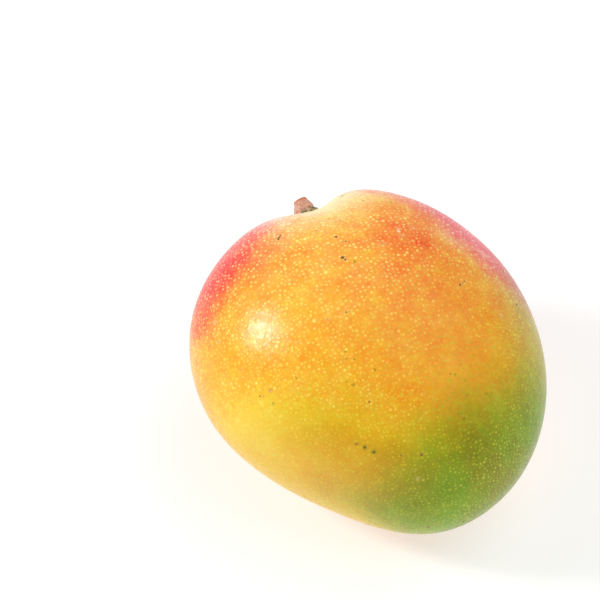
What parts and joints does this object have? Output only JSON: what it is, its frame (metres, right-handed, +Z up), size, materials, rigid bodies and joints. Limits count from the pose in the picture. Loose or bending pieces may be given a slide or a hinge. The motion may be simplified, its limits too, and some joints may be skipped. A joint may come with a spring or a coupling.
{
  "type": "mango",
  "caption": "Whole ripe mango lying on its cheek, a plump lopsided egg with a shallow stem cavity and the short cut stub of its stem.",
  "frame": {"origin": "centre of the small flat spot on the lower cheek that the fruit rests on", "axes": "+Z up from the surface it rests on, +Y along the fruit to its stem end, +X to its back, the fuller narrow side"},
  "size_m": [0.1089, 0.1178, 0.0869],
  "materials": {
    "mango_skin": "smooth waxy satin skin, yellow-orange with a red blush and a green tip, covered in fine pale dots",
    "stem_bark": "dry matt bark, pinkish tan, with a darker collar and a paler cut end"
  },
  "bodies": {
    "root": {"mango_fruit": "mango_skin", "stem_stub": "stem_bark"}
  },
  "joints": []
}
